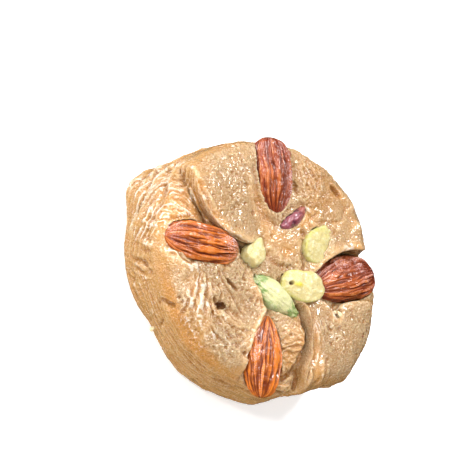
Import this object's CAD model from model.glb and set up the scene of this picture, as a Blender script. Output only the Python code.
"""The looks of a round of sohan halwa: folded, sugary milk fudge with ridged almonds and cut pistachios.

Shapes are worked out in millimetres and stored in metres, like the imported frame. Places on the face are x and
y, seen from above. Places on the wall are degrees round it and height.
"""

import math
from typing import NamedTuple

import bpy
import numpy as np
from bpy.props import FloatProperty, FloatVectorProperty, PointerProperty
from mathutils import Matrix, Vector


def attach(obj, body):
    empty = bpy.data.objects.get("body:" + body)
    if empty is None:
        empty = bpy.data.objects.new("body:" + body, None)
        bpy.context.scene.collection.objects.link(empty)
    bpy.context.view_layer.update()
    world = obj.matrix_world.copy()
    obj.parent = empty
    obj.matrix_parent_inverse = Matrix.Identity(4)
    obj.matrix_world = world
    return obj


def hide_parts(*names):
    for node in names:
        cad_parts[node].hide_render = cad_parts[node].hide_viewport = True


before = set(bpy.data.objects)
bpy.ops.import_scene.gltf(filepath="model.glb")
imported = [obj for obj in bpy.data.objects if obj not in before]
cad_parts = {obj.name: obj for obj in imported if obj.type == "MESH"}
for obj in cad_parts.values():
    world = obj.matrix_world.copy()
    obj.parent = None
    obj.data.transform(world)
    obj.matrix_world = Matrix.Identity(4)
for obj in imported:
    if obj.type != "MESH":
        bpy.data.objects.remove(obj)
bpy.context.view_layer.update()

bl_info = {
    "name": "Sohan halwa",
    "version": (1, 0, 0),
    "blender": (4, 5, 0),
    "location": "3D View > Sidebar > Halwa",
    "description": "A round of folded milk fudge with almonds and pistachios",
    "category": "Object",
}

MM = 0.001
BODY = "root"
WALL_RADIUS = 42.8
# One degree round the wall, in millimetres.
DEGREE = math.radians(1) * WALL_RADIUS


# Small marks pressed, pulled or folded into the dough.


class Fold(NamedTuple):
    """The free edge of a layer that lies on the left of the line's direction."""

    line: list
    lip: float
    tuck: float
    shadow: float


class Crease(NamedTuple):
    """A furrow, or a crest where it is taken away."""

    line: list
    depth: float
    width: float


class Patch(NamedTuple):
    """An oval with an amount: a pit's depth, how far the dough is pushed, or more of a mask such as shine."""

    centre: tuple
    spread: tuple
    turn: float
    amount: float


class Streaks(NamedTuple):
    """An oval of pulled strands, which run at the angle `turn` or round the point `bend`. Each keeps its
    height for about its pitch times the reach."""

    centre: tuple
    spread: tuple
    turn: float
    pitch: float
    height: float
    reach: float = 3.2
    bend: tuple = None


def folds(*rows):
    """Rows of lip, tuck and shadow, then the x and y of each point."""
    return [Fold(list(zip(row[3::2], row[4::2])), *row[:3]) for row in rows]


def creases(*rows):
    """Rows of depth and width, then the x and y of each point."""
    return [Crease(list(zip(row[2::2], row[3::2])), *row[:2]) for row in rows]


def patches(*rows, kind=Patch):
    """Rows of the centre's x and y and the two half widths, then the turn and what else the kind has."""
    return [kind(row[:2], row[2:4], *row[4:]) for row in rows]


def streaks(*rows):
    return patches(*rows, kind=Streaks)


FACE_FOLDS = folds(
    (0.7, 0.9, 1.3, -27, 43, -28.6, 35, -28.6, 27, -27, 19.5, -23.4, 13.4, -17.6, 8.6, -10.6, 6.2, -4, 9),
    (0.7, 0.6, 0.9, -18, -40, -18.6, -33, -17, -27, -13.6, -21, -9, -16.3, -9.4, -11, -11, -6, -8.5, -2),
    (0.2, 0.1, 0.2, 9, -11.6, 7.6, -17, 8.2, -23, 6.6, -29, 4.6, -34, 4.8, -45),
    (0.3, 0.2, 0.2, 1.6, -36, 3.8, -30, 5.4, -25, 5, -18),
    (0.8, 0.8, 1.8, 11, -6, 15.6, -2.4, 20, 0.6, 25.6, 3.2, 32, 4.4, 38, 4.2, 47, 5),
    (0.5, 0.4, 0.6, 41, -14, 33, -12.8, 27, -13, 22.4, -14.4, 20.6, -18.6, 18.6, -15.2, 14, -11.4, 8,
     -11.6),
    (0.3, 0.2, 0.5, 9.4, -3.2, 10, 2, 10.4, 8.4),
    (0.6, 0.3, 0.4, -31, -1, -37.4, -0.4, -40.4, 3.6, -46, 8.4),
    (0.4, 0.3, 0.8, 4, -38.8, -2, -38.4, -8, -40, -15, -42.6),
    (0.4, 0.3, 0.5, -30.4, -4, -29.6, -9.6, -27.6, -15, -21.6, -19.6, -16, -21),
    (0.25, 0.2, 0.4, 35, 20, 29, 13.6, 23, 12),
)
FACE_CREASES = creases(
    (0.9, 0.7, -28.4, 28.4, -28.1, 25.6, -27.1, 22.5, -26, 19.7, -24.6, 16.6, -22.7, 13.8, -20.8, 11.6),
    (0.5, 0.3, -33.5, 26.8, -31.3, 26.9, -28.7, 26.7), (0.5, 0.3, -33.9, 24.6, -31.3, 24.5, -28.6, 24.5),
    (0.4, 0.3, -33.2, 28.7, -30.9, 28.9, -28.6, 29.2),
    (0.7, 0.5, -40.5, 12.5, -39, 13.3, -35.9, 13.9, -32.9, 14.2, -29.1, 14.3),
    (1.4, 0.7, 8.4, -27, 7.2, -31, 4.6, -36, 3, -44), (1.6, 0.7, -6.4, -36.9, -1.6, -35.6, 3, -32.6),
    (0.7, 0.55, -28.6, -9, -27.4, -12.2, -24.6, -14.2, -20.6, -15),
    (0.3, 0.5, -24.6, -1.2, -23.4, -5.6, -21.4, -9.4, -18.6, -12.6),
    (0.4, 0.5, -31, -19, -27.6, -23.4, -24, -26),
    (0.7, 1.1, -4.2, 36, -5, 28.2, -4.4, 20.4, -2.2, 15, 1.8, 12.6, 6.2, 13.2),
    (0.8, 0.7, 20.8, -18.4, 22.6, -15.2), (0.3, 0.7, -3.4, 1.6, 3, -1, 8, -1.4),
    (0.35, 0.6, 3.4, 4.6, 6.6, 3.6), (0.4, 0.6, 9, -28, 7.4, -32, 7.2, -38),
    (0.5, 0.7, 14, -30, 12.4, -34, 13, -39), (0.3, 0.5, 17, 13, 21, 13.6, 25, 12),
    (0.35, 0.6, -21, -9.4, -18.4, -14.6, -16, -18), (0.4, 0.7, 10, 20.4, 14, 17.6, 15.4, 12.6, 13, 9),
)
FACE_CRESTS = creases(
    (0.6, 0.5, 18.3, 30.1, 18.4, 27, 18.8, 23.5), (0.5, 0.45, 22, 29.3, 21.5, 26.4, 21.8, 23.6),
    (0.4, 0.45, 14.8, 29, 14.8, 25.6, 15.6, 22.6),
    (1, 0.65, -29.8, -2.4, -31.9, -8.5, -34, -14.6, -34.4, -19),
    (0.7, 0.5, -32.6, -4, -34.8, -10, -36.2, -16), (0.6, 0.55, -28, -5.4, -30.2, -12, -31.4, -18),
    (0.6, 0.5, -23.8, -1.8, -22.6, -6, -19.8, -9.8), (0.6, 0.5, 11.1, 5.4, 10.5, 1.5, 9.9, -2.2),
    (0.6, 0.55, 5.9, -19, 6.1, -24.4, 5.3, -29, 3.6, -33.6),
    (0.7, 0.5, -38.4, 6.2, -37.4, 2.5, -35.2, 0.2, -31, -0.8),
    (0.4, 0.55, -10.2, -3.6, -9.9, -9.6, -8.6, -14.8, -13.4, -20.4, -17.2, -26.8, -18.4, -32),
    (0.5, 0.9, -5.6, 5.6, -1, 3.8, 3.4, 1), (0.4, 0.7, 12, 18.6, 16, 16.8, 19, 13.6),
    (0.6, 0.45, -42.8, 21.9, -39.8, 22.3, -36.6, 21.6, -34.4, 20.6),
    (0.7, 0.4, -45.7, 19.1, -43.5, 19.6, -41.2, 20, -38.9, 21, -35.2, 20.5, -32.4, 19.5, -30, 18.2, -29.2,
     16.3, -28.7, 14.1),
    (0.5, 0.35, -45.1, 18, -42.1, 18.9, -39.2, 18.8, -36.8, 18.6, -33.6, 17.6),
    (0.7, 0.45, -42.4, 24.5, -39.8, 24.9, -37.1, 22.6, -33.6, 21.3, -30.8, 20, -28.9, 18.2, -27.7, 15.7,
     -26.9, 13.9),
    (0.6, 0.5, -39.1, 24.1, -35.5, 23.6, -32, 22.5, -29.6, 20.7, -28, 18.8),
    (0.5, 0.45, -37.9, 17.9, -34.7, 17.1, -32.2, 15.9, -31, 14.1),
    (0.5, 0.4, -39.3, 15.4, -36.9, 14.7, -34.4, 14),
    (0.8, 0.5, -41.5, 18.3, -41.5, 15.8, -42.6, 13.3, -43.7, 10.6),
    (0.8, 0.7, -43.4, 26.2, -39, 28.6, -35, 29.6), (0.5, 0.5, -36.6, 33.4, -33, 31.2, -30.6, 31.4),
    (0.35, 0.8, 20.2, -13.6, 18.6, -18, 17.6, -23), (0.5, 0.45, 5.6, -20.4, 5.4, -25, 4.6, -29),
    (0.45, 0.5, 10.2, -19.4, 10.6, -24, 10, -28),
)
FACE_PITS = patches(
    (-24.3, -13.2, 1.2, 0.7, -15, 2.2), (-19.7, -7, 2.4, 0.6, -42, 0.9), (28.4, 23.8, 2.2, 1, -48, 0.9),
    (11.4, 25, 1.2, 1.7, 20, 0.4), (-18.9, -28.4, 0.7, 0.5, 0, 0.9), (-9.6, -13, 0.7, 1.2, 0, 0.5),
    (17.2, 15.2, 1, 0.6, 20, 0.4), (14.6, 21.4, 0.9, 0.5, 10, 0.4), (12, 9.6, 1, 1.3, 20, 1.1),
    (6, -14.8, 1.1, 1.5, 0, 1.2), (31.6, -24, 0.7, 0.5, 40, 0.6), (18.6, -25, 0.6, 0.4, 10, 0.5),
    (9.6, -38, 0.8, 0.6, 60, 0.5), (6.4, -35, 0.5, 0.8, 0, 0.5),
)
FACE_PUSHES = patches(
    (35, 19.4, 2, 2.8, 0, (0, 0, 0.9)), (36, 12, 1.8, 2.6, 0, (0, 0, 0.9)),
    (2.6, -25, 4.6, 8.6, 4, (0, 0, 1.9)), (-40.4, 8.6, 2, 3.2, 0, (1, -0.2, 0.5)),
    (-37.4, 1.6, 3, 2, -20, (0.4, 1, 0.6)), (13, 17, 6, 2.4, 12, (0, 0, 0.3)),
    (6.4, -22, 1.9, 9, -6, (0, 0, 5)), (9.5, -22, 3.2, 13, -4, (-0.8, 0, -0.9)),
    (-33.6, -12, 1.1, 10, 8, (0, 0, 0.5)), (-27, -9.6, 1.6, 2, 0, (0, 0, 0.7)),
    (9.6, -37, 3.6, 5, 10, (0, 0, 1)), (31, -15.6, 5, 1.6, 0, (0, 0.6, 0.5)),
)
# Where the disc's own relief is eased, so that only the strands show.
CALM = patches((-38.5, 25, 9, 8.5, -40, 1), (-34, 17.5, 6.5, 4.5, 0, 0.8), (3, -24, 6, 9, 0, 0.8))
# Where the sides of a furrow are evened out after the pushes.
EASED = patches((6.6, -22, 3, 9, -6, 1))
FACE_STREAKS = streaks(
    (-36.5, 19, 10, 8, -10, 1.3, 0.5, 3.2, (-42, 11)), (-42, 25, 6, 5, 32, 1.5, 0.6),
    (-32, -12.5, 4.6, 12, 99, 2, 0.95), (-25, -21, 8, 8, 124, 2.6, 0.6),
    (17.6, 27.5, 5.2, 6.5, 96, 2.1, 0.8), (1, -27, 4.4, 9.5, 14, 1.6, 0.5),
    (0.6, -26, 4.4, 9.5, -24, 2.3, 0.5), (9.8, -21, 2.8, 9, 95, 1.3, 0.6),
)
# Long strands round the wall.
WALL_STREAKS = streaks(
    (214, 11, 34, 11, 2, 1.3, 0.7, 9), (228, 13, 32, 11, -4, 2.6, 0.7, 7),
    (150, 12, 24, 12, -24, 1.7, 1.3, 7), (176, 12, 12, 10, 62, 2.4, 0.5),
    (300, 12, 34, 10, -3, 1.8, 0.45, 6), (20, 12, 50, 10, 3, 2.2, 0.5, 6),
    (90, 12, 44, 10, -3, 2.2, 0.5, 6),
)
# Where the wall stands out from the round or falls in under it, and how far out it goes.
WALL_PUSHES = patches(
    (210, -2, 27, 13, 0, -3.3), (202, -1, 12, 11, 0, -1.8), (144, 0, 8, 12, 0, 2.8), (304, 4, 9, 13, 0, 2.6),
)
WALL_CREASES = creases(
    (0.26, 0.4, 176, 8.6, 192, 9.6, 206, 9, 222, 8.2, 238, 9.4),
    (0.26, 0.4, 184, 6.6, 198, 7.6, 214, 6.8, 230, 6.4),
    (0.2, 0.4, 196, 12.6, 208, 13.4, 222, 12.2, 236, 14.4),
    (0.22, 0.35, 190, 10.8, 202, 11.6, 216, 10.2, 232, 11.4, 246, 10.4),
    (0.3, 0.4, 168, 4.6, 186, 5.4, 204, 4.8, 224, 5, 248, 4.4),
    (0.2, 0.4, 205, 15.6, 216, 15, 228, 16.4, 240, 15.8), (0.3, 0.45, 232, 12.6, 246, 13.4, 260, 12.2),
    (0.3, 0.45, 240, 7.4, 254, 8.2, 268, 7.2), (0.9, 0.5, 192.6, 18.6, 195.5, 20.8, 198, 23),
    (0.4, 0.45, 200, 16, 202.4, 14.8, 203.6, 12.4), (0.5, 0.5, 176, 14.8, 180, 17.4, 183, 18.2),
    (0.25, 0.5, 186, 13, 190, 15.4, 194, 16), (0.25, 0.6, 215, 17.5, 228, 18.4, 244, 16.6, 256, 18),
    (0.5, 0.6, 120, 13, 134, 16.4, 148, 20.4, 158, 21.6),
    (0.5, 0.6, 122, 8.4, 138, 11.4, 150, 12, 160, 9.4), (0.35, 0.5, 128, 16, 142, 19.2, 154, 23),
    (0.35, 0.5, 124, 5, 138, 7.4, 152, 7), (0.4, 0.6, 164, 6, 168, 12, 170, 18),
    (0.4, 0.6, 173, 8, 175, 13, 178, 20), (1.4, 0.9, 273.6, 27, 273, 19, 272.6, 12, 273.4, 6),
    (0.6, 0.6, 262, 21.6, 268, 20.8, 273, 22), (0.4, 0.5, 276, 13.4, 288, 12, 302, 13.6, 318, 12.4),
    (0.35, 0.5, 282, 19, 296, 18.2, 312, 19.6), (0.35, 0.5, 280, 7, 298, 8, 316, 6.6, 334, 7.4),
    (0.4, 0.5, 322, 9.4, 338, 8.4, 354, 10.2, 368, 9), (0.4, 0.5, 330, 17.2, 346, 16, 360, 14.4),
    (0.35, 0.45, 344, 12.4, 358, 12, 374, 13.2), (0.5, 0.6, 8, 17.6, 22, 16.4, 38, 18.2, 52, 17),
    (0.4, 0.5, 20, 9.8, 40, 10.8, 58, 9.2, 74, 10.4), (0.4, 0.5, 30, 5.4, 50, 6.2, 70, 5.2),
    (0.4, 0.5, 60, 20.4, 74, 18.6, 88, 19.4, 104, 17.4), (0.4, 0.5, 84, 8.6, 98, 10.2, 112, 8.4),
    (0.4, 0.5, 70, 14.2, 86, 13.4, 102, 14.4, 116, 12.6),
)
WALL_CRESTS = creases(
    (0.9, 0.9, 160, 15, 162, 18, 164, 21), (0.9, 0.9, 168, 14, 170, 17.2, 172.4, 20.6),
    (0.7, 0.8, 124, 6.4, 134, 9, 146, 9.4), (0.7, 0.8, 126, 2.6, 136, 4.8, 150, 4.4),
    (0.7, 0.7, 176, 10.6, 179, 15.6, 180.6, 20), (0.3, 0.7, 205, 3.6, 226, 3, 250, 3.4),
    (0.25, 0.5, 196, 8.2, 214, 8, 232, 8.8), (0.25, 0.5, 208, 10.9, 222, 10.6, 238, 11.8),
)
WALL_PITS = patches(
    (153.4, 10.4, 1.3, 0.7, 20, 0.9), (162.6, 17, 1, 0.7, 50, 0.8), (158, 21.4, 0.8, 0.6, 0, 0.6),
    (168, 9.6, 0.7, 0.5, 0, 0.5), (181.6, 7.4, 0.6, 0.4, 0, 0.5), (219, 19.6, 0.45, 0.45, 0, 0.7),
    (206, 17.6, 0.35, 0.35, 0, 0.5), (228, 13.4, 1.4, 0.4, -8, 0.35), (236, 18, 1.2, 0.4, -12, 0.35),
    (340, 13, 1.3, 0.7, 15, 0.8), (48, 13.4, 1.4, 0.7, -20, 0.8), (96, 14.2, 1.1, 0.8, 0, 0.7),
    (12, 8, 0.9, 0.6, 10, 0.5), (300, 10, 1.1, 0.6, -10, 0.6),
)
SHINY = patches(
    (-13, 22, 7, 13, -20, 0.5), (-34, -12, 5, 14, 0, 0.8), (-38, 17, 8, 10, 0, 0.45),
    (18, 27, 7, 9, 0, 0.35), (33, 12, 4, 10, 0, 0.4), (-27, -25, 9, 9, 0, 0.35), (20, -26, 9, 9, 0, 0.3),
    (3, 13, 9, 4, 20, 0.4), (10, -20, 3, 9, 0, 0.4),
)
WALL_SHINY = patches((138, 12, 18, 12, 0, 0.7), (162, 18, 10, 7, 0, 0.6), (188, 14, 12, 8, 0, 0.3))
# Where the dough is smooth rather than grainy.
SLEEK = patches(
    (-37, 16, 10, 11, 0, 1), (-33.5, -12, 4, 14, 5, 0.8), (8.6, -22, 3.4, 11, 0, 0.9),
    (1, -27, 5, 10, 0, 0.8), (9.4, -35, 2.8, 6, 5, 0.9), (14, 15, 5, 4, 0, 0.9), (-4, 16, 3, 12, 20, 0.8),
    (2, 6, 9, 6, 10, 0.85), (33, 12, 4, 10, 0, 0.5),
)
# Where the dough is browner: a band round the upper wall, and the deep furrows.
WALL_CARAMEL = patches(
    (196, 22.6, 14, 2, 0, 1.2), (216, 22.6, 14, 2, 0, 1.6), (236, 23.4, 12, 1.8, 0, 1.4),
    (246, 22.4, 14, 2.4, 0, 0.5), (232, 4, 40, 4.5, 0, 0.7), (200, 3.4, 24, 2, 0, 0.4),
    (275, 16, 6, 10, 0, 0.7),
)
FACE_CARAMEL = patches(
    (-36, 18, 11, 10, 0, 1), (-2, 14, 3, 7, -30, 0.4), (13, 14, 5, 3.4, 20, 0.5),
    (5.6, -24, 2.4, 12, 0, 0.5), (9.6, -35.6, 2.8, 5.5, 5, 0.9), (-33, 22, 7, 3, 20, 0.5),
    (-25, 13, 3, 7, -35, 0.6), (28.4, 23.8, 3.4, 2.2, -48, 0.9), (0, -30, 5, 8, 0, 0.4),
    (5, 3.6, 3, 1.6, 0, 0.5), (36, 4, 4, 3, 0, 0.6), (21, 23, 13, 13, 0, 0.6),
)


# Numbers for whole fields of points.

LATTICE = 4096


def smooth_step(low, high, value):
    share = np.clip((value - low) / (high - low), 0, 1)
    return share * share * (3 - 2 * share)


def lattice_noise(places, seed):
    """Smooth noise from -1 to 1 whose lumps are about one unit across."""
    table = np.random.default_rng(seed).permutation(LATTICE)
    values = np.random.default_rng(seed + 1).uniform(-1, 1, LATTICE)
    cell = np.floor(places).astype(np.int64)
    part = places - cell
    part = part * part * (3 - 2 * part)
    total = np.zeros(len(places))
    for corner in np.ndindex(2, 2, 2):
        slot, weight = 0, 1
        for axis, step in enumerate(corner):
            slot = table[(slot + cell[:, axis] + step) % LATTICE]
            weight = weight * (part[:, axis] if step else 1 - part[:, axis])
        total += weight * values[slot]
    return total


def lumps(places, size, seed, layers=2):
    """Layered noise. Two columns of places are taken as flat."""
    if places.shape[1] == 2:
        places = np.c_[places, np.zeros(len(places))]
    total = np.zeros(len(places))
    for layer in range(layers):
        total += lattice_noise(places / size * 2**layer, seed + 7 * layer) / 2**layer
    return total


def curve_through(points, spacing=0.7):
    """A smooth line through a few points, as closely spaced points."""
    points = [Vector(p) for p in points]
    ends = [2 * points[0] - points[1], *points, 2 * points[-1] - points[-2]]
    line = []
    for before, start, end, after in zip(ends, ends[1:], ends[2:], ends[3:]):
        steps = max(2, round((end - start).length / spacing))
        for step in range(steps):
            t = step / steps
            line.append(
                0.5 * (2 * start + (end - before) * t + (2 * before - 5 * start + 4 * end - after) * t**2
                       + (3 * start - before - 3 * end + after) * t**3)
            )
    return np.array([*line, points[-1]])


def beside_line(places, line, reach):
    """The places within reach of a line: which they are, how far from it (left is positive), how far along
    it, and the direction to its left."""
    line = curve_through(line)
    low, high = line.min(axis=0) - reach, line.max(axis=0) + reach
    near = np.nonzero(((places > low) & (places < high)).all(axis=1))[0]
    spots = places[near]
    best = np.full(len(near), np.inf)
    signed, along, left = np.zeros(len(near)), np.zeros(len(near)), np.zeros((len(near), 2))
    for i, (start, end) in enumerate(zip(line, line[1:])):
        run = end - start
        share = np.clip((spots - start) @ run / (run @ run), 0, 1)
        apart = spots - (start + share[:, None] * run)
        distance = np.hypot(*apart.T)
        closer = distance < best
        side = np.where(run[0] * apart[:, 1] - run[1] * apart[:, 0] >= 0, 1, -1)
        best[closer] = distance[closer]
        signed[closer] = (distance * side)[closer]
        along[closer] = ((i + share) / (len(line) - 1))[closer]
        left[closer] = np.array([-run[1], run[0]]) / np.hypot(*run)
    keep = best < reach
    return near[keep], signed[keep], along[keep], left[keep]


def faded_ends(along, share=0.15):
    return smooth_step(0, share, np.minimum(along, 1 - along))


def in_patch(places, patch):
    """Distance from a patch's centre, in units of its half axes."""
    offset = places - np.array(patch.centre)
    c, s = math.cos(math.radians(patch.turn)), math.sin(math.radians(patch.turn))
    return np.hypot((offset @ (c, s)) / patch.spread[0], (offset @ (-s, c)) / patch.spread[1])


def covered(places, ovals, sharpness=2):
    """How much of their amounts some patches leave at each place."""
    total = np.zeros(len(places))
    for patch in ovals:
        total += patch.amount * np.exp(-(in_patch(places, patch) ** sharpness))
    return total


def hump(value, middle, half_width):
    return np.exp(-(((value - middle) / half_width) ** 2))


def crease_depth(places, lines):
    """Furrows with slightly raised shoulders."""
    total = np.zeros(len(places))
    wobble = 0.35 * lumps(places, 2.2, 31)
    for crease in lines:
        near, signed, along, _ = beside_line(places, crease.line, 4 * crease.width)
        away = (signed + wobble[near]) / crease.width
        shape = np.exp(-np.abs(away) ** 1.5) - 0.28 * hump(np.abs(away), 2.0, 0.8)
        total[near] -= crease.depth * faded_ends(along, 0.25) * shape
    return total


def pit_depth(places, pits):
    total = np.zeros(len(places))
    for pit in pits:
        away = in_patch(places, pit)
        total -= pit.amount * (np.exp(-(away**4)) - 0.12 * hump(away, 1.5, 0.35))
    return total


def streak_height(places, ovals):
    """Pulled strands: raised lines, sharp at the crest, that fade and wander."""
    total = np.zeros(len(places))
    for i, patch in enumerate(ovals):
        if patch.bend:
            apart = places - np.array(patch.bend)
            across = np.hypot(*apart.T)
            along = np.unwrap(np.arctan2(apart[:, 1], apart[:, 0])) * 10
        else:
            c, s = math.cos(math.radians(patch.turn)), math.sin(math.radians(patch.turn))
            along, across = places @ np.array([c, s]), places @ np.array([-s, c])
        flow = np.c_[along * 3.2 / patch.reach, across]
        lane = across / patch.pitch + 0.55 * lumps(flow, 5.0, 60 + i) + 0.25 * lumps(flow, 2.0, 70 + i)
        crest = np.abs(2 * (lane % 1) - 1) ** 1.8
        run, flat = patch.reach * patch.pitch, 0 * along
        strength = lattice_noise(np.c_[np.floor(lane), along / run, flat], 80 + i)
        fine = lattice_noise(np.c_[lane * 2.6, along / (1.6 * patch.reach * patch.pitch), flat], 95 + i)
        shape = (0.75 + 0.6 * strength) * (crest - 0.35) + 0.22 * fine
        total += patch.height * np.exp(-(in_patch(places, patch) ** 4)) * shape
    return total


def scattered_pits(places, count, seed):
    """Many small round pores all over the face."""
    chance = np.random.default_rng(seed)
    centres = chance.uniform(-44, 44, (count, 2))
    sizes = chance.uniform(0.35, 0.8, count)
    total = np.zeros(len(places))
    for centre, size in zip(centres, sizes):
        near = np.nonzero((np.abs(places - centre) < 2 * size).all(axis=1))[0]
        away = np.hypot(*(places[near] - centre).T) / size
        total[near] -= 0.9 * size * np.exp(-(away**3))
    return total


# Meshes as arrays.


def numbers(items, name, kind=float, width=3):
    flat = np.empty(len(items) * width, dtype=kind)
    items.foreach_get(name, flat)
    return flat.reshape(-1, width)


def points_of(mesh):
    return numbers(mesh.vertices, "co") / MM


def normals_of(mesh):
    return numbers(mesh.vertex_normals, "vector")


def edges_of(mesh):
    return numbers(mesh.edges, "vertices", np.int64, 2)


def set_points(mesh, points):
    mesh.vertices.foreach_set("co", (points * MM).ravel())
    mesh.update()


def relaxed(values, edges, rounds, factor=0.5):
    """Each point moves part of the way to the mean of its neighbours, a number of times."""
    count = np.bincount(edges.ravel(), minlength=len(values))[:, None]
    values = values.copy()
    for _ in range(rounds):
        total = np.empty_like(values)
        for axis in range(values.shape[1]):
            total[:, axis] = np.bincount(edges[:, 0], values[edges[:, 1], axis], len(values))
            total[:, axis] += np.bincount(edges[:, 1], values[edges[:, 0], axis], len(values))
        values += factor * (total / count - values)
    return values


def paint(mesh, **masks):
    """Stores masks from 0 to 1 on a mesh, for its material."""
    for name, values in masks.items():
        layer = mesh.attributes.new(name, "FLOAT", "POINT")
        layer.data.foreach_set("value", np.clip(values, 0, 1))


def deselect_all():
    bpy.ops.object.select_all(action="DESELECT")


def link(name, data):
    obj = bpy.data.objects.new(name, data)
    bpy.context.scene.collection.objects.link(obj)
    return obj


def only(obj):
    deselect_all()
    obj.select_set(True)
    bpy.context.view_layer.objects.active = obj


def add_piece(obj, node, material):
    """Lets a finished piece stand for a node of the frame."""
    obj.data.materials.clear()
    obj.data.materials.append(material)
    obj.data.shade_smooth()
    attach(obj, BODY)
    if node:
        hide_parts(node)


# The dough.

# The furrows' beds lie above this height, and the disc's rounded foot below it.
BED_HEIGHT = 12
# How many times each point is moved to the mean of its neighbours: over the whole disc, where its relief is
# calm, where its edges are eased, and to find fine, middling and broad hollows.
DISC_ROUNDS = 5
CALM_ROUNDS = 60
EASED_ROUNDS = 12
HOLLOW_ROUNDS = (4, 16, 85)
PORES = 150
# The share of its faces that the underside keeps.
UNDERSIDE_SHARE = 0.06
# Where the wall and the rim begin, as distances from the middle.
WALL_START = (30, 36)
RIM_START = (39.5, 41.5)
# How close the corners of the frame's triangles lie where they are one, in metres.
WELD = 0.000002


def copy_of_node(node, name):
    obj = link(name, bpy.data.objects[node].data.copy())
    only(obj)
    bpy.ops.object.mode_set(mode="EDIT")
    bpy.ops.mesh.select_all(action="SELECT")
    bpy.ops.mesh.remove_doubles(threshold=WELD)
    bpy.ops.object.mode_set(mode="OBJECT")
    return obj


def remeshed(obj, voxel):
    only(obj)
    grid = obj.modifiers.new("grid", "REMESH")
    grid.mode = "VOXEL"
    grid.voxel_size = voxel
    bpy.ops.object.modifier_apply(modifier=grid.name)


def fold_moves(places):
    """How the face's folds move its points: sideways, so that lips hang over, and down into the gap below.
    Also how smooth the rolled edge of the upper layer is."""
    aside = np.zeros_like(places)
    down = np.zeros(len(places))
    rolled = np.zeros(len(places))
    wobble = 0.35 * lumps(places, 2.6, 11) + 0.5 * lumps(places, 7.0, 12)
    for fold in FACE_FOLDS:
        near, signed, along, left = beside_line(places, fold.line, 5.0)
        away = signed + wobble[near]
        strength = faded_ends(along)
        lip = -fold.lip * hump(away, 0.7, 1.1)
        tuck = fold.tuck * hump(away, -1.2, 0.9)
        aside[near] += left * ((lip + tuck) * strength)[:, None]
        down[near] += strength * (0.9 * fold.lip * hump(away, 0.9, 1.2) - fold.shadow * hump(away, -0.9, 0.7))
        rolled[near] = np.maximum(rolled[near], strength * min(1, 1.5 * fold.lip) * hump(away, 0.6, 2.0))
    return aside, down, rolled


def round_wall(points):
    """Each point's degrees round the wall, from 0 to 360."""
    return np.degrees(np.arctan2(points[:, 1], points[:, 0])) % 360


def unrolled(ovals):
    """Patches of the wall with their degrees turned into millimetres."""
    return [
        p._replace(centre=(p.centre[0] * DEGREE, p.centre[1]), spread=(p.spread[0] * DEGREE, p.spread[1]))
        for p in ovals
    ]


def wall_relief(wall_places):
    """What the furrows, crests, pits and strands of the wall add to it. Lines may run past 360 degrees."""
    total = np.zeros(len(wall_places))
    pits = [p._replace(centre=(p.centre[0] * DEGREE, p.centre[1])) for p in WALL_PITS]
    for whole_turn in (0, 360):
        spots = wall_places + (whole_turn * DEGREE, 0)
        for sign, lines in ((1, WALL_CREASES), (-1, WALL_CRESTS)):
            lines = [c._replace(line=[(d * DEGREE, z) for d, z in c.line]) for c in lines]
            total += sign * crease_depth(spots, lines)
        total += pit_depth(spots, pits)
        total += streak_height(spots, unrolled(WALL_STREAKS))
    return total


def push_dough(mesh, edges):
    """Smooths the disc's facets, pushes patches of it about and folds its layers over. Returns the points,
    and how far each lies in a rolled edge."""
    points = relaxed(points_of(mesh), edges, DISC_ROUNDS)
    calm = np.clip(covered(points[:, :2], CALM, 4), 0, 1) * (points[:, 2] > 1)
    points += (relaxed(points, edges, CALM_ROUNDS) - points) * calm[:, None]
    set_points(mesh, points)
    up = smooth_step(0.3, 0.7, normals_of(mesh)[:, 2])
    aside, down, rolled = fold_moves(points[:, :2])
    for push in FACE_PUSHES:
        weight = np.exp(-(in_patch(points[:, :2], push) ** 2)) * (points[:, 2] > BED_HEIGHT)
        points += np.outer(weight, push.amount)
    outward = points[:, :2] / WALL_RADIUS
    out = covered(np.c_[round_wall(points), points[:, 2]], WALL_PUSHES) * np.hypot(*outward.T) ** 3
    points[:, :2] += outward * out[:, None] + aside * up[:, None]
    points[:, 2] += down * up
    eased = np.maximum(1.2 * rolled * up, covered(points[:, :2], EASED, 4) * (points[:, 2] > BED_HEIGHT))
    points += (relaxed(points, edges, EASED_ROUNDS) - points) * np.clip(eased, 0, 0.9)[:, None]
    points = relaxed(points, edges, 1)
    set_points(mesh, points)
    return points, rolled


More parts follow.
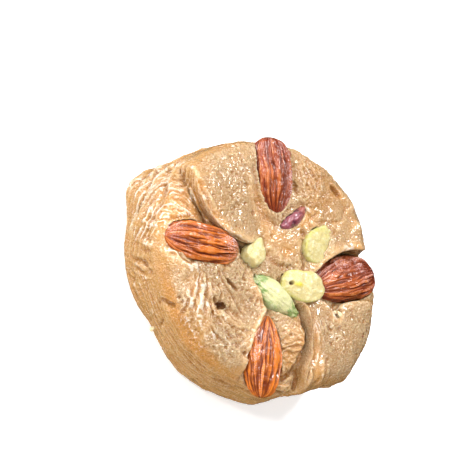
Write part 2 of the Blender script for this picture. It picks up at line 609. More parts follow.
def sculpt_dough(mesh, grain):
    """Folds, strands, furrows, pores and crumbs, moved into the points of the remeshed disc. Returns what the
    masks are made from."""
    edges = edges_of(mesh)
    points, rolled = push_dough(mesh, edges)
    normals = normals_of(mesh)
    up = smooth_step(0.25, 0.65, normals[:, 2])
    face_places = points[:, :2]
    side = smooth_step(0.8, 0.5, np.abs(normals[:, 2])) * smooth_step(*WALL_START, np.hypot(*face_places.T))
    wall_places = np.c_[round_wall(points) * DEGREE, points[:, 2]]
    sleek = np.clip(up * np.maximum(rolled, covered(face_places, SLEEK, 4)) + 0.2 * side, 0, 1)

    on_face = crease_depth(face_places, FACE_CREASES) - crease_depth(face_places, FACE_CRESTS)
    on_face += pit_depth(face_places, FACE_PITS) + streak_height(face_places, FACE_STREAKS)
    on_face += scattered_pits(face_places, PORES, 5)
    layers = lattice_noise(np.c_[points[:, :2] / 9, points[:, 2] / 1.3], 21)
    on_wall = wall_relief(wall_places) + 0.14 * layers
    on_wall += 0.08 * lattice_noise(np.c_[points[:, :2] / 5, points[:, 2] / 0.8], 22)

    rough = smooth_step(-0.5, 0.7, lumps(points, 11.0, 41)) * (1 - 0.8 * sleek)
    crumbs = lumps(points, 0.75, 43)
    crumbs = np.sign(crumbs) * np.abs(crumbs) ** 1.3
    coarse = 0.2 * lumps(points, 5.5, 42) + grain * (0.4 + 0.6 * rough) * crumbs
    skin = 1 - smooth_step(0.6, 0.9, -normals[:, 2])
    moved = on_face * up + on_wall * side + coarse * (0.3 + 0.7 * up) * skin
    points = relaxed(points + normals * moved[:, None], edges, 1, 0.2)
    points[normals[:, 2] < -0.9, 2] = 0
    points[:, 2] = np.maximum(points[:, 2], 0)
    set_points(mesh, points)
    return edges, points, up, side, wall_places, sleek


def paint_dough(mesh, edges, points, up, side, wall_places, sleek):
    normals = normals_of(mesh)
    face_places = points[:, :2]
    fine, middling, broad = [
        ((relaxed(points, edges, rounds) - points) * normals).sum(axis=1) for rounds in HOLLOW_ROUNDS
    ]
    shine = up * covered(face_places, SHINY) + side * covered(wall_places, unrolled(WALL_SHINY))
    rim = smooth_step(*RIM_START, np.hypot(*face_places.T))
    caramel = up * covered(face_places, FACE_CARAMEL) + rim * covered(wall_places, unrolled(WALL_CARAMEL))
    paint(
        mesh,
        hollow=0.5 + 1.8 * fine + 1.1 * middling + 0.4 * broad,
        shine=(0.4 + shine + 0.3 * sleek) * (0.8 + 0.6 * lumps(points, 2.5, 51)),
        caramel=(caramel + 0.5 * sleek * up) * (0.85 + 0.4 * lumps(points, 4.0, 52)),
        sleek=sleek,
        wall=side,
    )


def thin_underside(obj):
    """The flat underside needs far fewer faces than the rest."""
    faces = obj.data.polygons
    faces.foreach_set("select", [f.center.z < 0.02 * MM and f.normal.z < -0.99 for f in faces])
    only(obj)
    bpy.ops.object.mode_set(mode="EDIT")
    bpy.ops.mesh.select_mode(type="FACE")
    bpy.ops.mesh.decimate(ratio=UNDERSIDE_SHARE)
    bpy.ops.object.mode_set(mode="OBJECT")


# The nuts.


class Nut(NamedTuple):
    """Where a nut lies: its middle, its length, width and thickness, the way its tip points, its roll and its
    pitch."""

    centre: tuple
    size: tuple
    turn: float
    roll: float = 0.0
    pitch: float = 0.0


class AlmondLook(NamedTuple):
    """An almond's shape and skin. A frosted patch has a place along, a half length, degrees round, a half
    width and an amount, where 90 degrees is the top and 0 the left side of an almond whose tip points up."""

    nut: Nut
    blunt: float
    tip: tuple
    ridges: int
    dusk: float
    frost: list
    cleft: float = None


ALMONDS = {
    "almond_top": AlmondLook(
        Nut((3.5, 28.0, 24.7), (25.6, 14.8, 9.6), 264, -10, 1), 3.8, (2.1, 0.66), 21, 0.8,
        [(-0.1, 0.9, 50, 25, 0.7), (-0.95, 0.2, 110, 60, 0.4)], 84),
    "almond_left": AlmondLook(
        Nut((-27.5, 6.4, 24.2), (25.4, 13.0, 9.0), 350, -8, 3), 2.8, (2.6, 0.5), 19, 0.34,
        [(0.75, 0.35, 90, 60, 0.8), (-0.9, 0.25, 60, 60, 0.4)]),
    "almond_lower": AlmondLook(
        Nut((-9.4, -29.1, 24.3), (24.8, 13.0, 9.2), 79, 12, 6), 2.8, (2.0, 0.74), 15, -0.2,
        [(-0.2, 0.9, 35, 22, 0.6), (0.0, 0.8, 140, 20, 0.4)]),
    "almond_right": AlmondLook(
        Nut((28.3, -5.6, 23.6), (26.4, 14.8, 9.8), 192, 12, 3), 3.2, (2.6, 0.55), 19, 0.7,
        [(-0.65, 0.4, 95, 60, 0.9), (0.2, 0.5, 130, 30, 0.5)]),
}
# Nuts are this much bigger than their hard cores, so that the dough closes on them.
SNUG = 0.4
ALMOND_WAIST = -0.12

KERNEL = Nut((-2.0, -10.6, 24.2), (19.4, 8.8, 6.6), 143, 8, 2)
OVAL = Nut((7.7, -7.4, 26.4), (15.8, 10.0, 4.6), 166, -4, -8)
EGG = Nut((18.0, 5.6, 25.4), (12.8, 10.8, 5.0), 40, 6)
CHIP = Nut((-8.9, 3.2, 25.6), (9.8, 7.4, 4.4), 68, -6)
SLIVER = Nut((9.4, 14.3, 25.4), (12.2, 3.6, 3.0), 31, 10)


def ball(name, segments, rings):
    """A ball of radius 1 (in mm) with its poles on the X axis."""
    deselect_all()
    bpy.ops.mesh.primitive_uv_sphere_add(segments=segments, ring_count=rings, radius=MM)
    obj = bpy.context.object
    obj.name = obj.data.name = name
    obj.data.transform(Matrix.Rotation(math.radians(90), 4, "Y"))
    return obj


def finish_nut(obj, nut, points, **masks):
    """Gives a nut its points and masks, and moves it from the origin to its bed."""
    set_points(obj.data, points)
    paint(obj.data, **masks)
    turn = (
        Matrix.Rotation(math.radians(nut.turn), 4, "Z")
        @ Matrix.Rotation(math.radians(-nut.pitch), 4, "Y")
        @ Matrix.Rotation(math.radians(nut.roll), 4, "X")
    )
    obj.data.transform(Matrix.Translation(Vector(nut.centre) * MM) @ turn)
    obj.data.update()
    return obj


def almond_width(share, blunt, tip):
    """An almond's half width at each place from its blunt end at -1 to its tip at 1."""
    back = np.clip((ALMOND_WAIST - share) / (1 + ALMOND_WAIST), 0, 1)
    front = np.clip((share - ALMOND_WAIST) / (1 - ALMOND_WAIST), 0, 1)
    return (1 - back**blunt) ** 0.45 * (1 - front ** tip[0]) ** tip[1]


def shape_almond(name, look, seed):
    """An almond in its skin, with ridges that run together at both ends."""
    obj = ball(name, 280, 120)
    unit = points_of(obj.data)
    share = np.clip(unit[:, 0], -1, 1)
    turn = np.arctan2(unit[:, 2], unit[:, 1])
    ring = np.c_[np.cos(turn), np.sin(turn)]
    width = almond_width(share, look.blunt, look.tip)
    half = np.array(look.nut.size) / 2 + SNUG
    places = np.c_[share * 1.6, ring * 1.3]
    bent = turn + 0.1 * lumps(places, 1.0, seed)
    around = np.c_[np.cos(bent), np.sin(bent)] * look.ridges / 2.8
    fibres = [
        lattice_noise(np.c_[share * pace, around * finer], seed + layer)
        for layer, (pace, finer) in enumerate([(1.5, 1.0), (2.6, 1.9), (5.0, 3.0)])
    ]
    strands = fibres[0] + 0.8 * fibres[1] + 0.45 * fibres[2]
    groove = 1.3 * (1 - np.abs(np.clip(fibres[0] * 3.2, -1, 1))) * (fibres[1] < 0.4)
    groove = np.clip(0.4 - 0.6 * strands, 0, 1) * 0.8 + 0.35 * groove
    angle = np.degrees(turn)
    if look.cleft:
        cleft = hump(angle + 4 * lumps(places, 0.8, seed + 21), look.cleft, 5)
        groove = np.maximum(groove, 1.2 * cleft * smooth_step(1.0, 0.7, np.abs(share)))
    wrinkle = lumps(np.c_[share * 10, ring * 2.4], 1.0, seed + 11, 3)
    depth = (1.05 * groove + 0.2 * wrinkle) * (1 - share**8)
    radius = width * (1 + 0.02 * lumps(places, 1.2, seed + 13))
    points = np.c_[share * half[0], radius * half[1] * ring[:, 0], radius * half[2] * ring[:, 1]]
    points[:, 1:] -= ring * (depth * np.sqrt(width))[:, None]
    points[:, 1] += 0.5 * (1 - share**2) * (1 if seed % 2 else -1)
    frost = np.zeros(len(points))
    for along, length, across, spread, amount in look.frost:
        frost += amount * np.exp(-(np.hypot((share - along) / length, (angle - across) / spread) ** 4))
    return finish_nut(
        obj,
        look.nut,
        points,
        frost=frost * (0.8 + 0.4 * lumps(places, 0.6, seed + 17)),
        groove=groove + 0.12 * wrinkle,
        dusk=look.dusk + 0.28 * lumps(places, 0.9, seed + 15) + 0.3 * smooth_step(0.6, 1, np.abs(share)),
    )


def shape_kernel(name, nut):
    """A whole shelled pistachio: a spindle with a blunt keel and torn, fibrous ends."""
    obj = ball(name, 150, 120)
    unit = points_of(obj.data)
    share = unit[:, 0]
    half = np.array(nut.size) / 2 + SNUG * 0.7
    ring = unit[:, 1:]
    y = ring[:, 0] * half[1] * (1 - 0.22 * share**2 + 0.1 * share)
    z = ring[:, 1] * half[2] * (1 - 0.2 * share**2)
    z += np.where(z > 0, 0.6 * np.exp(-((y / 1.6) ** 2)) * (1 - share**2), 0)
    points = np.c_[share * half[0], y, z]
    fibres = lumps(points * (0.22, 1, 1), 0.75, 201, 3)
    torn = smooth_step(0.55, 1.0, np.abs(share))
    points += unit * ((0.15 + 0.55 * torn) * fibres + 0.3 * lumps(points, 2.6, 205))[:, None]
    ends = smooth_step(0.42, 0.92, np.abs(share) + 0.25 * fibres)
    sides = 0.55 * smooth_step(0.45, 0.95, np.abs(unit[:, 1]) + 0.3 * fibres)
    husk = 0.8 * smooth_step(0.88, 1.0, np.abs(share)) * (0.5 + 0.8 * fibres)
    return finish_nut(obj, nut, points, green=ends + sides + 0.05 + 0.2 * fibres, husk=husk)


def shape_half_kernel(name, nut, tail, taper, bite, green, germ=None):
    """Half a pistachio, its cut side up, and narrower towards its tip where the taper is below 0. The bite
    out of its rim is x, y and radius in millimetres. The germ is where it has a pit and a yellow mark."""
    obj = ball(name, 130, 100)
    unit = points_of(obj.data)
    share = unit[:, 0]
    half = np.array(nut.size) / 2 + SNUG * 0.6
    y = unit[:, 1] * half[1] * (1 + taper * share) * (0.94 + 0.22 * share**2)
    top = np.clip(unit[:, 2], 0, 1)
    z = np.where(unit[:, 2] > 0, half[2] * top**0.5 * 0.7, unit[:, 2] * half[2])
    x = share * half[0] + tail * smooth_step(0.6, 1.0, share)
    points = np.c_[x, y, z]
    away = points[:, :2] - bite[:2]
    reach = np.hypot(*away.T)
    points[:, :2] += away / reach[:, None] * np.clip(bite[2] - reach, 0, None)[:, None]
    points[:, :2] *= 1 + 0.08 * lumps(unit, 0.7, 214)[:, None]
    wavy = 0.22 * lumps(points, 3.0, 211) + 0.12 * lumps(points, 0.9, 212, 2)
    points[:, 2] += wavy * (unit[:, 2] > -0.2)
    masks = {}
    if germ:
        marks = patches((*germ, 0.75, 0.6, 0, 1), (germ[0] - 2.4, germ[1] - 0.1, 1.7, 0.75, 0, 1))
        pit, tongue = [covered(points[:, :2], [mark], 3) * (unit[:, 2] > 0) for mark in marks]
        points[:, 2] += 0.35 * tongue - 1.3 * pit
        masks = {"husk": pit, "germ": tongue}
    rim = smooth_step(0.72, 1.0, np.hypot(unit[:, 0], unit[:, 1]))
    masks["green"] = green + 0.6 * rim + 0.3 * lumps(points, 3.0, 215)
    return finish_nut(obj, nut, points, **masks)


def shape_chip(name, nut):
    """A broken piece of pistachio: a slanting kite whose edges are worn round."""
    corners = [
        (0.58, -0.1), (0.2, -0.42), (0, -0.56), (-0.38, -0.34), (-0.48, -0.1), (-0.22, 0.48), (0.04, 0.48),
    ]
    mesh = bpy.data.meshes.new(name)
    foot = [(x * nut.size[0] * MM, y * nut.size[1] * MM, -nut.size[2] / 2 * MM) for x, y in corners]
    mesh.from_pydata(foot, [], [range(len(foot))])
    obj = link(name, mesh)
    only(obj)
    bpy.ops.object.mode_set(mode="EDIT")
    bpy.ops.mesh.select_all(action="SELECT")
    bpy.ops.mesh.extrude_region_move(TRANSFORM_OT_translate={"value": (0, 0, nut.size[2] * MM)})
    bpy.ops.transform.resize(value=(0.9, 0.86, 1), center_override=(0, 0, 0))
    bpy.ops.mesh.select_all(action="SELECT")
    bpy.ops.mesh.normals_make_consistent(inside=False)
    bpy.ops.mesh.bevel(offset=0.0006, segments=3, profile=0.6)
    bpy.ops.mesh.subdivide(number_cuts=3)
    bpy.ops.object.mode_set(mode="OBJECT")
    remeshed(obj, 0.00022)
    points = points_of(mesh)
    high = points[:, 2] > 0
    lean = points[:, 0] / nut.size[0] + 0.6 * points[:, 1] / nut.size[1]
    ridge = points[:, 1] + 0.18 * points[:, 0] + 0.3
    points[:, 2] += np.where(high, -0.12 * nut.size[2] * lean - 0.2 * np.abs(ridge), 0)
    points = relaxed(points, edges_of(mesh), 4)
    points += normals_of(mesh) * (0.18 * lumps(points, 1.6, 221, 2) + SNUG * 0.6)[:, None]
    green = 0.35 * smooth_step(-0.6, 1.6, points[:, 1] + 0.18 * points[:, 0] + 0.3)
    return finish_nut(obj, nut, points, green=green)


def shape_sliver(name, nut):
    """A torn strip of pistachio, still in its dark red skin."""
    obj = ball(name, 48, 64)
    unit = points_of(obj.data)
    half = np.array(nut.size) / 2 + SNUG * 0.6
    points = unit * half
    points[:, 1] += 0.7 * unit[:, 0] ** 2
    wrinkle = lumps(points * (0.4, 1, 1), 0.9, 231, 3)
    points += unit * (0.3 * wrinkle)[:, None]
    points[:, 1] += 0.35 * lumps(points * (1, 0.3, 0.3), 1.8, 235)
    dusk = smooth_step(0.25, 0.75, unit[:, 0] + 0.25 * wrinkle)
    return finish_nut(obj, nut, points, groove=0.5 - 0.6 * wrinkle, dusk=dusk)


# Loose crumbs: name, where, size, how it is turned, and whether it is brown skin rather than nut.
CRUMBS = [
    ("crumb_notch", (21.6, -17.2, 27.2), (2.6, 1.3, 1.0), -60, False),
    ("crumb_notch_small", (20.4, -16.0, 27.0), (1.2, 0.9, 0.7), 10, False),
    ("crumb_foot", (-38.9, -17.6, 3.4), (1.9, 1.5, 1.6), 30, False),
    ("crumb_skin", (10.7, 36.6, 26.4), (1.6, 1.9, 0.7), 0, True),
    ("crumb_face_left", (-29.6, -13.6, 27.0), (0.8, 0.5, 0.4), 20, True),
    ("crumb_lobe", (31.2, -24.4, 27.2), (0.8, 0.6, 0.4), 20, True),
    ("crumb_centre", (12.8, 12.0, 26.6), (1.1, 0.6, 0.5), 40, False),
]


def seat(centre, lift):
    """The place on the dough that is closest to a place in millimetres, and a little way out from it."""
    _, spot, normal, _ = bpy.data.objects["dough"].closest_point_on_mesh(Vector(centre) * MM)
    return spot + normal * lift * MM


def shape_crumb(name, centre, size, turn, seed):
    deselect_all()
    bpy.ops.mesh.primitive_ico_sphere_add(subdivisions=4, radius=MM)
    obj = bpy.context.object
    obj.name = obj.data.name = name
    unit = points_of(obj.data)
    points = unit * (1 + 0.35 * lumps(unit, 0.9, seed, 3))[:, None] * np.array(size) / 2
    set_points(obj.data, points)
    spin = Matrix.Rotation(math.radians(turn), 4, "Z")
    obj.data.transform(Matrix.Translation(seat(centre, 0.2 * size[2])) @ spin)
    return obj


# Materials.


class Wire:
    """A value in a material's nodes. Sums, differences and products of wires add Math nodes."""

    def __init__(self, graph, socket):
        self.graph = graph
        self.socket = socket

    def maths(self, operation, *values):
        return self.graph.node("ShaderNodeMath", {"operation": operation}, dict(enumerate(values)))

    def __add__(self, other):
        return self.maths("ADD", self, other)

    def __sub__(self, other):
        return self.maths("SUBTRACT", self, other)

    def __rsub__(self, other):
        return self.maths("SUBTRACT", other, self)

    def __mul__(self, other):
        return self.maths("MULTIPLY", self, other)

    __radd__, __rmul__ = __add__, __mul__

    def between(self, low, high):
        """0 below low, 1 above high, and smooth between them."""
        inputs = {"Value": self, "From Min": low, "From Max": high}
        return self.graph.node("ShaderNodeMapRange", {"interpolation_type": "SMOOTHSTEP"}, inputs)


class Graph:
    """The nodes of one material, round its Principled shader."""

    def __init__(self, name):
        self.material = bpy.data.materials.new(name)
        self.material.use_nodes = True
        self.tree = self.material.node_tree
        self.shader = self.tree.nodes["Principled BSDF"]

    def node(self, kind, settings=None, inputs=None, output=0):
        node = self.tree.nodes.new(kind)
        for key, value in (settings or {}).items():
            setattr(node, key, value)
        sockets = [s for s in node.inputs if s.enabled]
        for key, value in (inputs or {}).items():
            socket = sockets[key] if isinstance(key, int) else next(s for s in sockets if s.name == key)
            self.put(socket, value)
        outputs = [s for s in node.outputs if s.enabled]
        socket = outputs[output] if isinstance(output, int) else next(s for s in outputs if s.name == output)
        return Wire(self, socket)

    def put(self, socket, value):
        if isinstance(value, Wire):
            self.tree.links.new(value.socket, socket)
        elif socket.type == "RGBA" and len(value) == 3:
            socket.default_value = (*value, 1)
        else:
            socket.default_value = value

    def mask(self, name):
        return self.node("ShaderNodeAttribute", {"attribute_name": name}, output="Fac")

    def place(self):
        """Object coordinates in millimetres."""
        where = self.node("ShaderNodeTexCoord", output="Object")
        return self.node("ShaderNodeVectorMath", {"operation": "MULTIPLY"}, {0: where, 1: (1 / MM,) * 3})

    def noise(self, place, size, detail=3.0, roughness=0.55):
        inputs = {"Vector": place, "Scale": 1 / size, "Detail": detail, "Roughness": roughness}
        return self.node("ShaderNodeTexNoise", {}, inputs)

    def cells(self, place, size):
        return self.node("ShaderNodeTexVoronoi", {}, {"Vector": place, "Scale": 1 / size})

    def mix(self, share, first, second):
        return self.node("ShaderNodeMix", {"data_type": "RGBA"}, {"Factor": share, "A": first, "B": second})

    def bump(self, height, strength, distance):
        inputs = {"Height": height, "Strength": strength, "Distance": distance * MM}
        return self.node("ShaderNodeBump", {}, inputs)

    def finish(self, **inputs):
        for name, value in inputs.items():
            self.put(self.shader.inputs[name.replace("_", " ")], value)
        return self.material


def dough_material(settings):
    g = Graph("dough")
    place = g.place()
    hollow = g.mask("hollow")
    shine = g.mask("shine")
    broad = g.noise(place, 9.0, 2.0)
    medium = g.noise(place, 2.2, 4.0)
    fine = g.noise(place, 0.7, 4.0, 0.65)
    grain = g.noise(place, 0.32, 2.0)
    colour = g.mix(broad.between(0.3, 0.7), settings.colour, settings.light_colour)
    colour = g.mix(g.mask("wall") * 0.9, colour, settings.wall_colour)
    colour = g.mix(hollow.between(0.5, 0.95) * 0.85, colour, settings.deep_colour)
    face_share = 1 - 0.5 * g.mask("wall")
    colour = g.mix((1 - hollow).between(0.56, 0.92) * (0.75 * face_share), colour, settings.crest_colour)
    colour = g.mix(medium.between(0.52, 0.75) * 0.3, colour, settings.deep_colour)
    colour = g.mix(g.mask("caramel") * 0.8, colour, settings.caramel_colour)
    flecks = (1 - g.cells(place, 1.5)).between(0.84, 0.93) * fine.between(0.42, 0.6)
    colour = g.mix(flecks * 0.75, colour, (0.20, 0.085, 0.03))
    sugar = (1 - g.cells(place, 0.7)).between(0.66, 0.86) * medium.between(0.4, 0.6)
    colour = g.mix(sugar * (0.1 + 0.5 * shine) * face_share, colour, (0.92, 0.80, 0.64))
    frosted = (1 - hollow).between(0.6, 0.9) * shine.between(0.65, 1.0)
    colour = g.mix(frosted * 0.6, colour, (0.95, 0.86, 0.74))
    coarse_share = 1 - 0.75 * g.mask("sleek")
    glint = g.noise(place, 0.5, 1.5)
    colour = g.mix((1 - glint).between(0.48, 0.66) * (0.45 * coarse_share), colour, settings.deep_colour)
    colour = g.mix(glint.between(0.56, 0.68) * (0.1 + 0.3 * coarse_share * shine), colour, (0.93, 0.80, 0.62))
    rubble = 0.9 * fine + 0.6 * grain + 0.9 * glint + 0.3 * medium - 0.5 * g.cells(place, 0.75)
    height = coarse_share * rubble + 0.3 * fine
    return g.finish(
        Base_Color=colour,
        Roughness=0.22 - 0.1 * shine + 0.25 * (fine - 0.5),
        Coat_Weight=0.6 + 0.4 * shine,
        Coat_Roughness=0.1,
        Coat_IOR=1.45,
        Normal=g.bump(height, settings.bump, 0.75),
        Subsurface_Weight=0.22,
        Subsurface_Radius=(1.0, 0.45, 0.2),
        Subsurface_Scale=0.0022,
        Specular_IOR_Level=1.0,
    )


def almond_material(settings):
    g = Graph("almond_skin")
    place = g.place()
    groove = g.mask("groove")
    dusk = g.mask("dusk")
    mottle = g.noise(place, 1.6, 4.0, 0.6)
    fine = g.noise(place, 0.45, 3.0)
    ridge = g.mix(dusk.between(0.0, 1.0), settings.skin_light, settings.skin_dark)
    ridge = g.mix(mottle.between(0.46, 0.68) * 0.55, ridge, settings.skin_red)
    colour = g.mix(groove.between(0.2, 0.85) * 0.92, ridge, settings.groove_colour)
    crests = (1 - groove).between(0.8, 1.0) * mottle.between(0.42, 0.6)
    colour = g.mix(crests * 0.4, colour, settings.skin_crest)
    bloom = (1 - groove).between(0.35, 0.75) * fine.between(0.46, 0.56)
    colour = g.mix(bloom * g.mask("frost") * 0.9, colour, settings.frost_colour)
    return g.finish(
        Base_Color=colour,
        Roughness=0.24 + 0.2 * (fine - 0.5),
        Coat_Weight=0.8,
        Coat_Roughness=0.12,
        Specular_IOR_Level=0.5,
        Normal=g.bump(0.9 * fine + 0.6 * mottle, 0.8, 0.4),
        Subsurface_Weight=0.06,
        Subsurface_Radius=(1.0, 0.3, 0.1),
        Subsurface_Scale=0.001,
    )


def pistachio_material(name, pale, green, settings):
    g = Graph(name)
    place = g.place()
    mottle = g.noise(place, 1.4, 4.0, 0.6)
    fine = g.noise(place, 0.4, 3.0)
    colour = g.mix((g.mask("green") + 0.5 * (mottle - 0.5)).between(0.1, 0.95), pale, green)
    colour = g.mix(mottle.between(0.45, 0.62) * 0.55, colour, (0.80, 0.75, 0.48))
    colour = g.mix(fine.between(0.52, 0.66) * 0.35, colour, (0.45, 0.40, 0.12))
    colour = g.mix(g.mask("germ"), colour, settings.germ_colour)
    colour = g.mix(g.mask("husk"), colour, (0.12, 0.055, 0.02))
    return g.finish(
        Base_Color=colour,
        Roughness=0.5 + 0.2 * (fine - 0.5),
        Coat_Weight=0.4,
        Coat_Roughness=0.2,
        Normal=g.bump(0.7 * fine + 0.8 * mottle, 0.9, 0.6),
        Subsurface_Weight=0.25,
        Subsurface_Radius=(1.0, 0.9, 0.35),
        Subsurface_Scale=0.0012,
    )


def red_material():
    g = Graph("red_skin")
    place = g.place()
    fine = g.noise(place, 0.45, 3.0)
    mottle = g.noise(place, 1.1, 4.0)
    colour = g.mix(g.mask("groove").between(0.3, 0.8), (0.30, 0.07, 0.09), (0.09, 0.015, 0.03))
    colour = g.mix(mottle.between(0.48, 0.66) * 0.6, colour, (0.42, 0.20, 0.26))
    colour = g.mix(g.mask("dusk") * 0.7, colour, (0.42, 0.12, 0.06))
    return g.finish(
        Base_Color=colour,
        Roughness=0.35 + 0.2 * (fine - 0.5),
        Coat_Weight=0.7,
        Coat_Roughness=0.15,
        Normal=g.bump(fine + mottle, 0.5, 0.25),
    )


def crumb_material(name, colour, other):
    g = Graph(name)
    place = g.place()
    mottle = g.noise(place, 0.6, 3.0)
    return g.finish(
        Base_Color=g.mix(mottle.between(0.35, 0.65), colour, other),
        Roughness=0.45 + 0.2 * (mottle - 0.5),
        Normal=g.bump(mottle, 0.4, 0.2),
    )


# What a user may change.


def swatch(name, description, default):
    return FloatVectorProperty(
        name=name, description=description, default=default, subtype="COLOR", size=3, min=0, max=1
    )


class HalwaDough(bpy.types.PropertyGroup):
    voxel: FloatProperty(
        name="Mesh grid", description="Size of the dough's grid", default=0.00033, min=0.0002, unit="LENGTH"
    )
    grain: FloatProperty(name="Grain", description="Height of the grain in millimetres", default=0.4, min=0)
    bump: FloatProperty(
        name="Fine grain", description="Strength of the finest grain", default=0.9, subtype="FACTOR",
        min=0, max=1,
    )
    colour: swatch("Dough", "Colour of the dough", (0.58, 0.35, 0.158))
    light_colour: swatch("Light dough", "Colour of its lighter patches", (0.62, 0.415, 0.215))
    crest_colour: swatch("Crests", "Colour of its crests", (0.82, 0.60, 0.34))
    wall_colour: swatch("Wall", "Colour of the smooth wall", (0.56, 0.30, 0.095))
    deep_colour: swatch("Hollows", "Colour of its hollows", (0.40, 0.165, 0.045))
    caramel_colour: swatch("Caramel", "Colour where butter shows through", (0.64, 0.285, 0.06))


class HalwaNuts(bpy.types.PropertyGroup):
    skin_light: swatch("Light skin", "Almond skin where it is orange", (0.80, 0.215, 0.02))
    skin_crest: swatch("Skin ridges", "Palest ridges of the almond skin", (0.84, 0.33, 0.09))
    skin_dark: swatch("Dark skin", "Almond skin where it is darkest", (0.30, 0.05, 0.014))
    skin_red: swatch("Red skin", "Red patches of almond skin", (0.40, 0.07, 0.022))
    frost_colour: swatch("Frost", "Dusty lilac bloom on the almond skin", (0.88, 0.66, 0.64))
    groove_colour: swatch("Grooves", "Grooves of the almond skin", (0.16, 0.026, 0.01))
    cream: swatch("Pistachio", "Palest cut pistachio", (0.66, 0.54, 0.235))
    yellow_green: swatch("Pistachio rim", "Rims of the cut pistachio", (0.60, 0.55, 0.13))
    pale_green: swatch("Shelled pistachio", "Middle of the whole pistachio", (0.74, 0.72, 0.36))
    leaf_green: swatch("Green ends", "Ends of the whole pistachio", (0.27, 0.41, 0.13))
    germ_colour: swatch("Germ", "The germ in a cut pistachio", (0.80, 0.66, 0.06))


class HalwaStage(bpy.types.PropertyGroup):
    field_of_view: FloatProperty(
        name="View", description="Angle that the camera takes in", default=math.radians(18), subtype="ANGLE"
    )
    distance: FloatProperty(
        name="Distance", description="From the camera to the sweet", default=0.47807, unit="LENGTH"
    )
    key: FloatProperty(name="Key light", description="Power of the light overhead, in watts", default=4.1)
    fill: FloatProperty(name="Fill light", description="Power of the light below, in watts", default=4.4)
    spark: FloatProperty(name="Sparks", description="Power of the three small lights, in watts", default=10)
    sky: FloatProperty(name="Sky", description="Strength of the light from all round", default=0.43)
    floor_glow: FloatProperty(name="Floor glow", description="Light of the table itself", default=0.38)
    floor_colour: swatch("Floor", "Colour of the floor", (0.93, 0.93, 0.935))


# The steps of the making.


class HALWA_OT_dough(bpy.types.Operator):
    """Model the folded dough on the frame's disc"""

    bl_idname = "halwa.dough"
    bl_label = "Dough"

    def execute(self, context):
        settings = context.scene.halwa_dough
        obj = copy_of_node("halwa", "dough")
        remeshed(obj, settings.voxel)
        paint_dough(obj.data, *sculpt_dough(obj.data, settings.grain))
        thin_underside(obj)
        add_piece(obj, "halwa", dough_material(settings))
        return {"FINISHED"}


class HALWA_OT_almonds(bpy.types.Operator):
    """Model the almonds in their ridged skins"""

    bl_idname = "halwa.almonds"
    bl_label = "Almonds"

    def execute(self, context):
        material = almond_material(context.scene.halwa_nuts)
        for i, (node, look) in enumerate(ALMONDS.items()):
            obj = shape_almond(node + "_skin", look, 301 + 20 * i + i % 2)
            add_piece(obj, node, material)
        return {"FINISHED"}


class HALWA_OT_pistachios(bpy.types.Operator):
    """Model the pistachios: a whole one, two cut ones, a chip and a red sliver"""

    bl_idname = "halwa.pistachios"
    bl_label = "Pistachios"

    def execute(self, context):
        nuts = context.scene.halwa_nuts
        cut = pistachio_material("pistachio", nuts.cream, nuts.yellow_green, nuts)
        whole = pistachio_material("green_pistachio", nuts.pale_green, nuts.leaf_green, nuts)
        add_piece(shape_kernel("kernel", KERNEL), "pistachio_whole", whole)
        oval = shape_half_kernel("oval", OVAL, -0.5, -0.16, (6.9, 4.6, 1.7), 0.0, germ=(4.2, 0.4))
        add_piece(oval, "pistachio_oval", cut)
        egg = shape_half_kernel("egg", EGG, 2.0, -0.12, (4.6, -4.6, 1.4), 0.25)
        add_piece(egg, "pistachio_egg", cut)
        add_piece(shape_chip("chip", CHIP), "pistachio_chip", cut)
        add_piece(shape_sliver("sliver", SLIVER), "pistachio_sliver", red_material())
        return {"FINISHED"}


class HALWA_OT_crumbs(bpy.types.Operator):
    """Scatter the few loose crumbs of nut and skin"""

    bl_idname = "halwa.crumbs"
    bl_label = "Crumbs"

    def execute(self, context):
        nut = crumb_material("nut_crumb", (0.80, 0.62, 0.36), (0.88, 0.78, 0.50))
        skin = crumb_material("skin_crumb", (0.22, 0.07, 0.03), (0.34, 0.12, 0.05))
        for seed, (name, centre, size, turn, brown) in enumerate(CRUMBS, 401):
            obj = shape_crumb(name, centre, size, turn, seed)
            add_piece(obj, None, skin if brown else nut)
        return {"FINISHED"}


# How far the round's face is turned from the camera, and to which side of the picture.
LOOK_TILT = math.radians(40.5)
LOOK_TURN = math.radians(19)
# The camera aims at the middle of the round, which the photo shows at this pixel.
AIM = Vector((0, 0, 13.5)) * MM
AIM_PIXEL = (253.7, 271.0)
PIXELS = 474

# Name, which setting's power it has and how much of it, direction as right, up and back of the camera,
# distance, size, and whether it shows in reflections.
LIGHTS = [
    ("key", "key", 1, (0.4, 0.78, 0.48), 0.8, 0.24, True),
    ("fill", "fill", 1, (-0.25, -0.5, 0.8), 0.9, 0.8, False),
    ("spark_right", "spark", 0.28, (0.8, 0.5, 0.3), 0.8, 0.12, True),
    ("spark_left", "spark", 0.5, (-0.5, 0.82, 0.28), 0.8, 0.25, True),
    ("spark_front", "spark", 0.2, (-0.22, 0.3, 0.93), 0.8, 0.1, True),
]


def camera_axes():
    """The camera's right, up and back in columns, and so the frame's X, Y and Z as it sees them in rows."""
    flat = math.sin(LOOK_TILT)
    z_axis = Vector((flat * math.cos(LOOK_TURN), flat * math.sin(LOOK_TURN), math.cos(LOOK_TILT)))
    y_axis = (Vector((0, 1, 0)) - z_axis * z_axis.y).normalized()
    return Matrix((y_axis.cross(z_axis), y_axis, z_axis))


def add_light(name, power, direction, distance, size, glossy):
    light = bpy.data.lights.new(name, "AREA")
    light.size = size
    light.energy = power
    obj = link(name, light)
    towards = (camera_axes() @ Vector(direction)).normalized()
    obj.location = AIM + towards * distance
    obj.rotation_euler = towards.to_track_quat("Z", "Y").to_euler()
    obj.visible_glossy = glossy


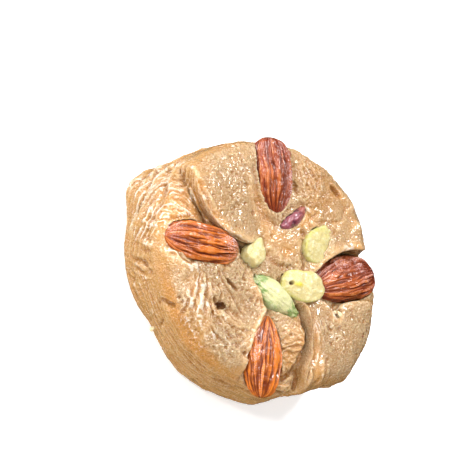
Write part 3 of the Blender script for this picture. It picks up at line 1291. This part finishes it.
class HALWA_OT_stage(bpy.types.Operator):
    """Add the pale floor, the soft lights and the camera"""

    bl_idname = "halwa.stage"
    bl_label = "Stage"

    def execute(self, context):
        settings = context.scene.halwa_stage
        scene = context.scene
        deselect_all()
        bpy.ops.mesh.primitive_plane_add(size=3)
        floor = bpy.context.object
        floor.name = "floor"
        floor.visible_glossy = False
        floor.data.materials.append(
            Graph("floor").finish(
                Base_Color=settings.floor_colour,
                Roughness=0.8,
                Emission_Color=(1, 1, 1),
                Emission_Strength=settings.floor_glow,
            )
        )

        camera = bpy.data.cameras.new("camera")
        camera.angle = settings.field_of_view
        camera.clip_start = 0.01
        camera.shift_x = (PIXELS / 2 - AIM_PIXEL[0]) / PIXELS
        camera.shift_y = (AIM_PIXEL[1] - PIXELS / 2) / PIXELS
        scene.camera = link("camera", camera)
        axes = camera_axes()
        scene.camera.matrix_world = Matrix.Translation(AIM + axes.col[2] * settings.distance) @ axes.to_4x4()

        for name, source, share, *rest in LIGHTS:
            add_light(name, share * getattr(settings, source), *rest)
        world = bpy.data.worlds.new("sky")
        world.use_nodes = True
        background = world.node_tree.nodes["Background"].inputs
        background["Color"].default_value = (1, 1, 1, 1)
        background["Strength"].default_value = settings.sky
        world.cycles_visibility.glossy = False
        scene.world = world
        scene.view_settings.view_transform = "Standard"
        return {"FINISHED"}


class HALWA_PT_panel(bpy.types.Panel):
    """Everything that makes the sweet"""

    bl_label = "Sohan halwa"
    bl_space_type = "VIEW_3D"
    bl_region_type = "UI"
    bl_category = "Halwa"

    def draw(self, context):
        layout = self.layout
        for step in STEPS:
            layout.operator(step.bl_idname)
        for setting, kind in SETTINGS.items():
            column = layout.column()
            for name in kind.__annotations__:
                column.prop(getattr(context.scene, setting), name)


STEPS = (HALWA_OT_dough, HALWA_OT_almonds, HALWA_OT_pistachios, HALWA_OT_crumbs, HALWA_OT_stage)
SETTINGS = {"halwa_dough": HalwaDough, "halwa_nuts": HalwaNuts, "halwa_stage": HalwaStage}
CLASSES = (*SETTINGS.values(), *STEPS, HALWA_PT_panel)


def register():
    for cls in CLASSES:
        bpy.utils.register_class(cls)
    for name, kind in SETTINGS.items():
        setattr(bpy.types.Scene, name, PointerProperty(type=kind))


def unregister():
    for name in SETTINGS:
        delattr(bpy.types.Scene, name)
    for cls in reversed(CLASSES):
        bpy.utils.unregister_class(cls)


def main():
    register()
    bpy.ops.halwa.dough()
    bpy.ops.halwa.almonds()
    bpy.ops.halwa.pistachios()
    bpy.ops.halwa.crumbs()
    bpy.ops.halwa.stage()


if __name__ == "__main__":
    main()
